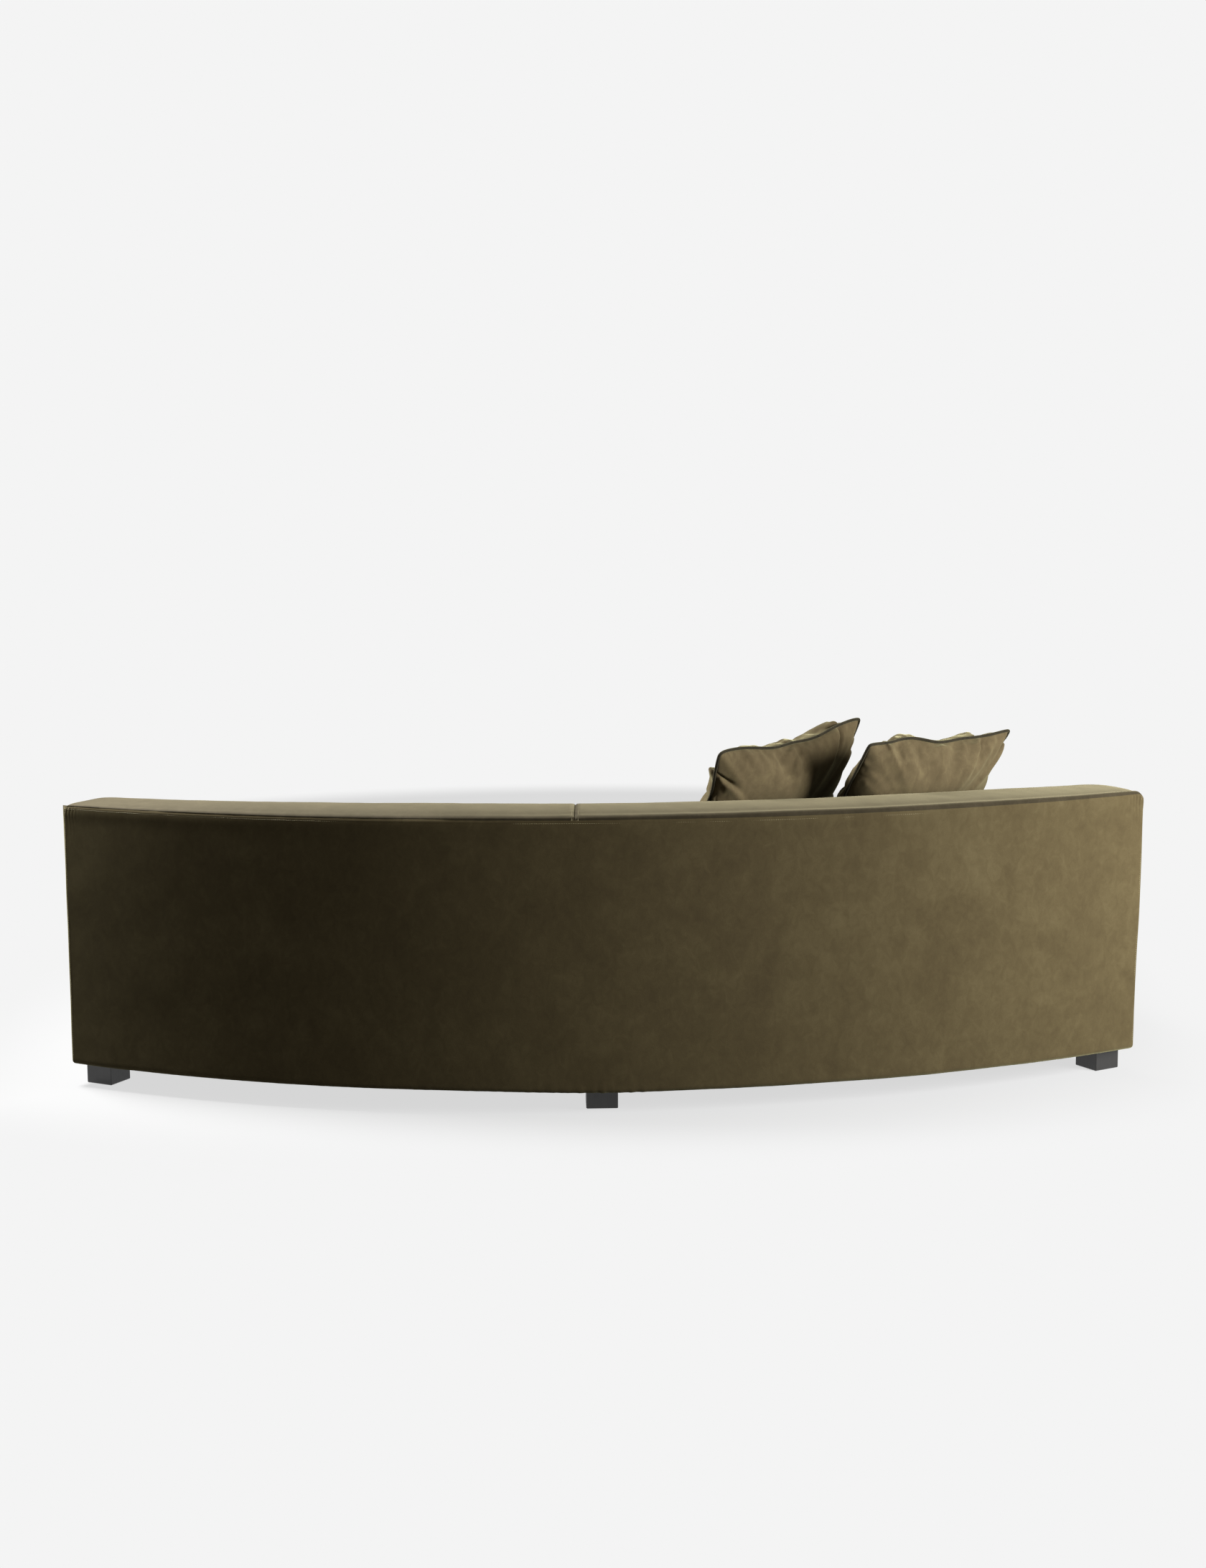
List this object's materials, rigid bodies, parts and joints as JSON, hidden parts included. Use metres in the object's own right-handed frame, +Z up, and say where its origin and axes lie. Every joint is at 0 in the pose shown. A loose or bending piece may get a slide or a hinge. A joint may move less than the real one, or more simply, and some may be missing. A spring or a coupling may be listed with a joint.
{
  "type": "curved sofa",
  "caption": "Low curved sofa with an upholstered convex back, a padded top roll, loose seat cushions, piped scatter pillows and black block feet.",
  "frame": {"origin": "centre of the sofa's bounding box, on the floor under the feet", "axes": "+Z up; the sitter faces -Y; +X runs along the sofa to the sitter's left"},
  "size_m": [2.74, 1.1926, 0.8978],
  "materials": {
    "velvet": "short-pile velvet, moss olive",
    "pillow_velvet": "short-pile velvet, moss olive",
    "piping": "bias-cut velvet over cord, darker olive",
    "pillow_fill": "cotton ticking",
    "foam": "cut polyurethane foam",
    "wadding": "bonded polyester",
    "felt": "needled felt",
    "lining": "woven black lining",
    "webbing": "woven elastic",
    "foot_finish": "black satin lacquer",
    "plywood": "sanded plywood",
    "timber": "planed softwood",
    "board": "hardboard",
    "spring_steel": "drawn wire",
    "zinc_steel": "zinc plated",
    "glide": "moulded"
  },
  "bodies": {
    "root": {"rear_bottom_rail": "timber", "front_rail": "timber", "rear_seat_rail": "timber", "top_back_rail": "plywood", "back_stretcher": "plywood", "centre_frame": "plywood", "middle_frame_left": "plywood", "middle_frame_right": "plywood", "end_frame_left": "plywood", "end_frame_right": "plywood", "foot_blocks": "timber", "corner_blocks": "timber", "foot_rear_left": "foot_finish", "foot_rear_centre": "foot_finish", "foot_rear_right": "foot_finish", "foot_front_left": "foot_finish", "foot_front_centre": "foot_finish", "foot_front_right": "foot_finish", "foot_bolts": "zinc_steel", "foot_nuts": "zinc_steel", "foot_washers": "zinc_steel", "leveller_inserts": "zinc_steel", "seat_springs": "spring_steel", "spring_clips": "spring_steel", "spring_tie_wires": "spring_steel", "deck_pad": "felt", "outside_back_board": "board", "outside_back_wadding": "wadding", "inside_back_foam_left": "foam", "inside_back_foam_right": "foam", "top_roll_foam": "foam", "front_border_foam": "foam", "end_pad_left": "wadding", "end_pad_right": "wadding", "back_webbing": "webbing", "outside_back_cover": "velvet", "top_roll_cover_left": "velvet", "top_roll_cover_right": "velvet", "inside_back_cover_left": "velvet", "inside_back_cover_right": "velvet", "deck_cover": "lining", "front_border_cover": "velvet", "end_cover_left": "velvet", "end_cover_right": "velvet", "dust_cover": "lining"},
    "leveller_rear": {"leveller_rear": "glide"},
    "leveller_front": {"leveller_front": "glide"},
    "seat_cushion_left": {"seat_cushion_left_cover": "velvet", "seat_cushion_left_foam": "foam"},
    "seat_cushion_right": {"seat_cushion_right_cover": "velvet", "seat_cushion_right_foam": "foam"},
    "pillow_inner": {"pillow_inner_cover": "pillow_velvet", "pillow_inner_insert": "pillow_fill", "pillow_inner_piping": "piping"},
    "pillow_outer": {"pillow_outer_cover": "pillow_velvet", "pillow_outer_insert": "pillow_fill", "pillow_outer_piping": "piping"}
  },
  "joints": [
    {"name": "seat_cushion_left_lift", "type": "slide", "parent": "root", "child": "seat_cushion_left", "axis": [0, 0, 1], "range_m": [0, 0.25]},
    {"name": "seat_cushion_right_lift", "type": "slide", "parent": "root", "child": "seat_cushion_right", "axis": [0, 0, 1], "range_m": [0, 0.25]},
    {"name": "pillow_inner_lift", "type": "slide", "parent": "seat_cushion_right", "child": "pillow_inner", "axis": [0, 0, 1], "range_m": [0, 0.3]},
    {"name": "pillow_outer_lift", "type": "slide", "parent": "seat_cushion_right", "child": "pillow_outer", "axis": [-0.6, 0, 0.8], "range_m": [0, 0.3]},
    {"name": "leveller_rear_screw", "type": "slide", "parent": "root", "child": "leveller_rear", "axis": [0, 0, -1], "range_m": [0, 0.012]},
    {"name": "leveller_front_screw", "type": "slide", "parent": "root", "child": "leveller_front", "axis": [0, 0, -1], "range_m": [0, 0.012]}
  ]
}
